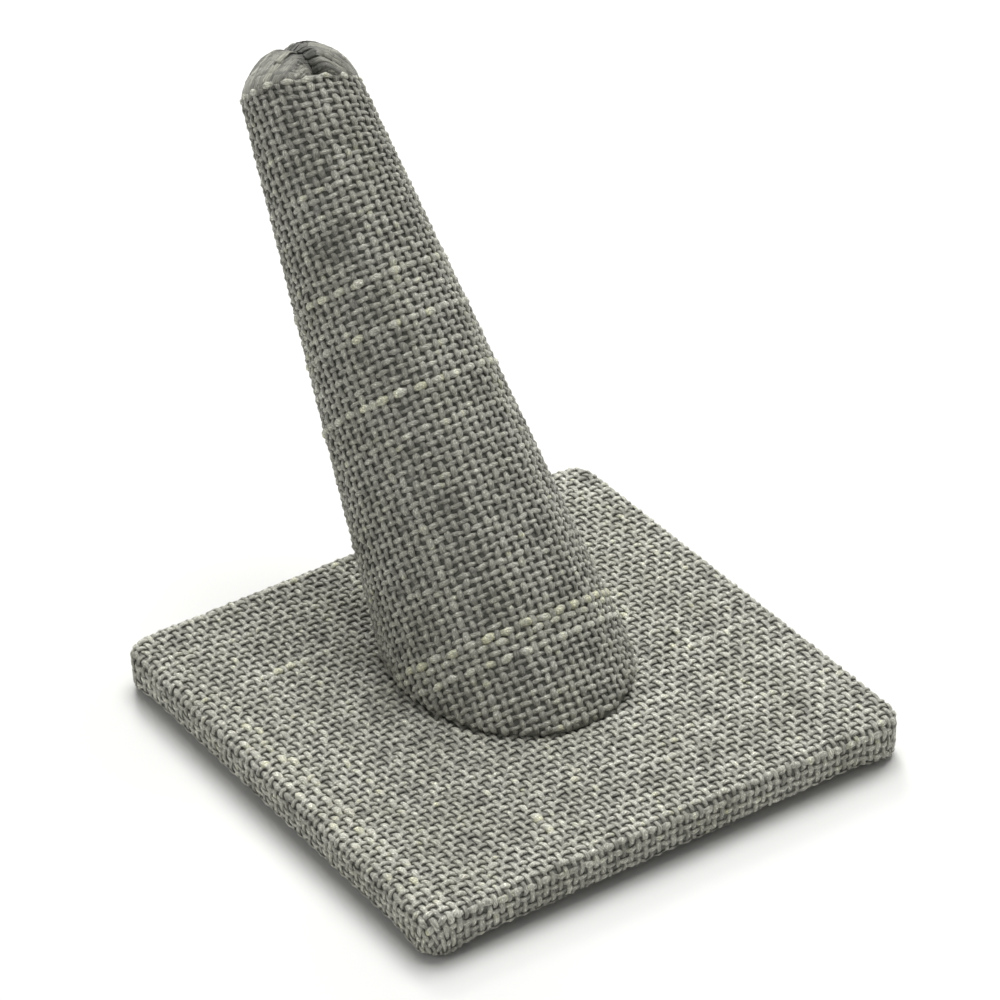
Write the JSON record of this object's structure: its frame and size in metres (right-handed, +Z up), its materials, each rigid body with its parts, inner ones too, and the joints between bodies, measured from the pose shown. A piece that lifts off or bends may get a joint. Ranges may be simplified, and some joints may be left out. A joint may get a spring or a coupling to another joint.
{
  "type": "ring display stand",
  "caption": "Linen-covered tapered finger leaning back on a square linen-wrapped base, to show a ring.",
  "frame": {"origin": "middle of the base's underside, on the felt", "axes": "+Z up; the finger leans back towards +Y; X and Y lie along the base's edges"},
  "size_m": [0.0572, 0.072, 0.0597],
  "materials": {
    "linen": "open plain weave, slubbed, matt",
    "board": "bare MDF",
    "felt": "short felt",
    "turned_wood": "turned, unvarnished",
    "screw_steel": "zinc plated",
    "thread": "polyester sewing thread"
  },
  "bodies": {
    "root": {"base_board": "board", "base_cloth": "linen", "bottom_pad": "felt", "finger_core": "turned_wood", "finger_cloth": "linen", "fixing_screw": "screw_steel", "gather_thread": "thread"}
  },
  "joints": []
}
